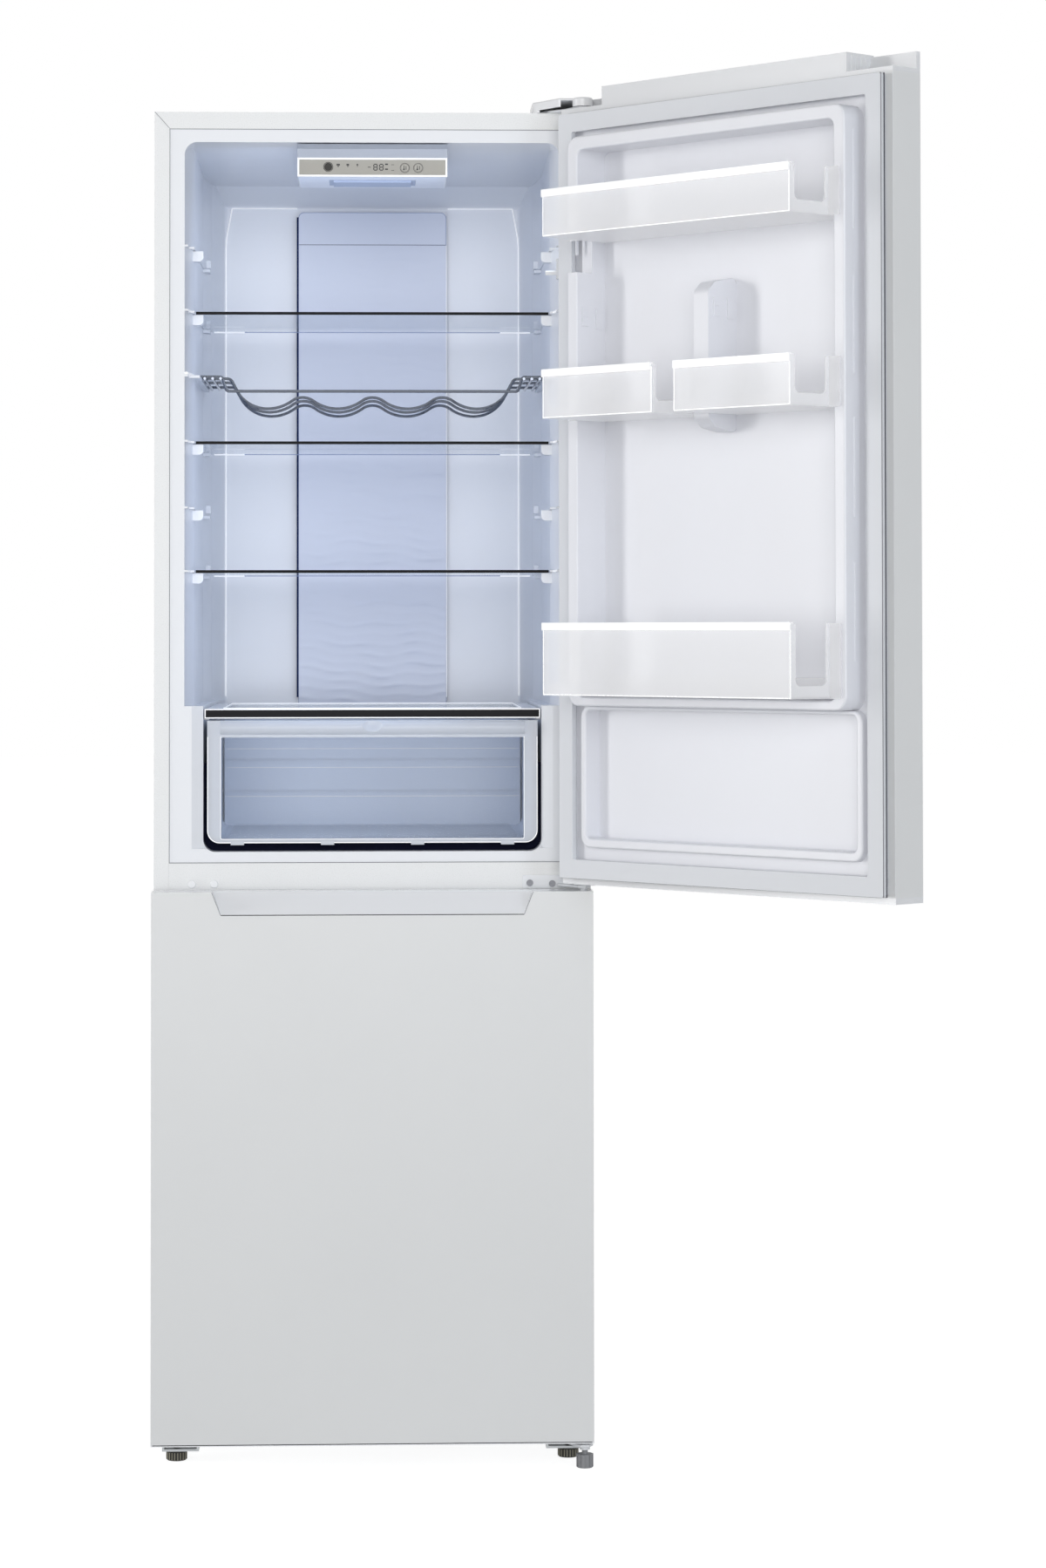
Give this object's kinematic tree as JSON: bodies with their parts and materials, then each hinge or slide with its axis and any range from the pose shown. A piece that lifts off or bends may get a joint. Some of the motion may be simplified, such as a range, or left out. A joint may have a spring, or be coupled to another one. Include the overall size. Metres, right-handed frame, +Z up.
{
  "type": "bottom freezer refrigerator",
  "caption": "Free-standing cabinet with an open upper refrigerator door, glass shelves, door bins and a lower freezer door.",
  "frame": {"origin": "on the floor, under the middle of the cabinet's front face", "axes": "+X to the right seen from the front, +Y to the back, +Z up"},
  "size_m": [0.9867, 1.0956, 1.86],
  "materials": {
    "white_steel": "gloss",
    "door_steel": "gloss",
    "white_plastic": "gloss",
    "door_cap_plastic": "gloss",
    "liner_plastic": "gloss",
    "door_liner_plastic": "gloss",
    "duct_plastic": "gloss",
    "foam": "matte",
    "galvanised_steel": "satin",
    "zinc_bracket": "satin",
    "screw_steel": "polished",
    "seal_rubber": "matte",
    "black_rubber": "matte",
    "dark_plastic": "matte",
    "grey_plastic": "matte",
    "navy_strip": "gloss",
    "clear_plastic": "gloss",
    "milky_plastic": "gloss",
    "rim_plastic": "gloss",
    "shelf_glass": "polished",
    "lamp_plastic": "gloss",
    "chrome_wire": "polished",
    "panel_face": "satin",
    "button_plastic": "satin",
    "black_steel": "satin",
    "fin_aluminium": "satin"
  },
  "bodies": {
    "cabinet": {"outer_wrapper": "white_steel", "rear_panels": "galvanised_steel", "base_plate": "galvanised_steel", "fridge_liner": "liner_plastic", "freezer_liner": "liner_plastic", "mullion_cover": "white_steel", "hole_plugs": "white_plastic", "insulation_foam": "foam", "duct_panel": "duct_plastic", "control_housing": "white_plastic", "control_face": "panel_face", "lamp_lens": "lamp_plastic", "crisper_cover_frame": "white_plastic", "crisper_cover_glass": "shelf_glass", "crisper_cover_strip": "navy_strip", "freezer_drawers": "clear_plastic", "top_hinge_bracket": "zinc_bracket", "top_hinge_cover": "white_plastic", "middle_hinge_bracket": "zinc_bracket", "bottom_hinge_bracket": "zinc_bracket", "hinge_screws": "screw_steel", "freezer_rear_cover": "white_plastic", "evaporator": "fin_aluminium", "fan_motor": "black_steel", "compressor": "black_steel", "compressor_mounts": "black_rubber"},
    "fridge_door": {"fridge_door_skin": "door_steel", "fridge_door_foam": "foam", "fridge_door_liner": "door_liner_plastic", "fridge_door_seal": "seal_rubber", "fridge_door_caps": "door_cap_plastic", "door_stop": "zinc_bracket"},
    "freezer_door": {"freezer_door_skin": "door_steel", "freezer_door_foam": "foam", "freezer_door_liner": "door_liner_plastic", "freezer_door_seal": "seal_rubber", "freezer_door_caps": "door_cap_plastic"},
    "bin_top": {"bin_top": "clear_plastic", "bin_rim_top": "rim_plastic"},
    "bin_middle_left": {"bin_middle_left": "clear_plastic", "bin_rim_middle_left": "rim_plastic"},
    "bin_middle_right": {"bin_middle_right": "clear_plastic", "bin_rim_middle_right": "rim_plastic"},
    "bin_bottom": {"bin_bottom": "clear_plastic", "bin_rim_bottom": "rim_plastic"},
    "crisper": {"crisper_drawer": "clear_plastic", "crisper_front": "milky_plastic"},
    "shelf_1": {"shelf_glass_1": "shelf_glass"},
    "shelf_2": {"shelf_glass_2": "shelf_glass"},
    "shelf_3": {"shelf_glass_3": "shelf_glass"},
    "rack": {"wine_rack": "chrome_wire"},
    "button_boost": {"button_boost": "dark_plastic"},
    "button_fridge": {"button_fridge": "button_plastic"},
    "button_freezer": {"button_freezer": "button_plastic"},
    "door_switch": {"door_switch": "white_plastic"},
    "foot_left": {"foot_left": "dark_plastic"},
    "foot_right": {"foot_right": "dark_plastic"},
    "foot_hinge": {"foot_hinge": "grey_plastic"},
    "rear_rollers": {"rear_rollers": "dark_plastic"},
    "evaporator_fan": {"evaporator_fan": "white_plastic"}
  },
  "joints": [
    {"name": "fridge_door_hinge", "type": "hinge", "parent": "cabinet", "child": "fridge_door", "pos_m": [0.286, -0.0436, 0.785], "axis": [0, 0, 1], "range_deg": [-131.4, 0]},
    {"name": "freezer_door_hinge", "type": "hinge", "parent": "cabinet", "child": "freezer_door", "pos_m": [0.286, -0.0436, 0.034], "axis": [0, 0, 1], "range_deg": [0, 131.4]},
    {"name": "crisper_slide", "type": "slide", "parent": "cabinet", "child": "crisper", "axis": [0, -1, 0], "range_m": [0, 0.28]},
    {"name": "shelf_1_slide", "type": "slide", "parent": "cabinet", "child": "shelf_1", "axis": [0, -1, 0], "range_m": [0, 0.2]},
    {"name": "shelf_2_slide", "type": "slide", "parent": "cabinet", "child": "shelf_2", "axis": [0, -1, 0], "range_m": [0, 0.2]},
    {"name": "shelf_3_slide", "type": "slide", "parent": "cabinet", "child": "shelf_3", "axis": [0, -1, 0], "range_m": [0, 0.2]},
    {"name": "rack_slide", "type": "slide", "parent": "cabinet", "child": "rack", "axis": [0, -1, 0], "range_m": [0, 0.22]},
    {"name": "bin_top_lift", "type": "slide", "parent": "fridge_door", "child": "bin_top", "axis": [0, 0, 1], "range_m": [0, 0.055]},
    {"name": "bin_middle_left_lift", "type": "slide", "parent": "fridge_door", "child": "bin_middle_left", "axis": [0, 0, 1], "range_m": [0, 0.055]},
    {"name": "bin_middle_right_lift", "type": "slide", "parent": "fridge_door", "child": "bin_middle_right", "axis": [0, 0, 1], "range_m": [0, 0.055]},
    {"name": "bin_bottom_lift", "type": "slide", "parent": "fridge_door", "child": "bin_bottom", "axis": [0, 0, 1], "range_m": [0, 0.055]},
    {"name": "button_boost_press", "type": "slide", "parent": "cabinet", "child": "button_boost", "axis": [0, 1, 0], "range_m": [0, 0.0006], "stiffness_N_per_m": 900},
    {"name": "button_fridge_press", "type": "slide", "parent": "cabinet", "child": "button_fridge", "axis": [0, 1, 0], "range_m": [0, 0.0006], "stiffness_N_per_m": 900},
    {"name": "button_freezer_press", "type": "slide", "parent": "cabinet", "child": "button_freezer", "axis": [0, 1, 0], "range_m": [0, 0.0006], "stiffness_N_per_m": 900},
    {"name": "door_switch_press", "type": "slide", "parent": "cabinet", "child": "door_switch", "axis": [0, 1, 0], "range_m": [0, 0.003], "stiffness_N_per_m": 500},
    {"name": "foot_left_turn", "type": "hinge", "parent": "cabinet", "child": "foot_left", "pos_m": [-0.267, 0.03, 0.01], "axis": [0, 0, 1], "continuous": true},
    {"name": "foot_right_turn", "type": "hinge", "parent": "cabinet", "child": "foot_right", "pos_m": [0.267, 0.03, 0.01], "axis": [0, 0, 1], "continuous": true},
    {"name": "foot_hinge_turn", "type": "hinge", "parent": "cabinet", "child": "foot_hinge", "pos_m": [0.286, -0.0436, 0.01], "axis": [0, 0, 1], "continuous": true},
    {"name": "rear_rollers_roll", "type": "hinge", "parent": "cabinet", "child": "rear_rollers", "pos_m": [0, 0.535, 0.016], "axis": [1, 0, 0], "continuous": true},
    {"name": "evaporator_fan_spin", "type": "hinge", "parent": "cabinet", "child": "evaporator_fan", "pos_m": [0, 0.416, 0.645], "axis": [0, 1, 0], "continuous": true}
  ]
}
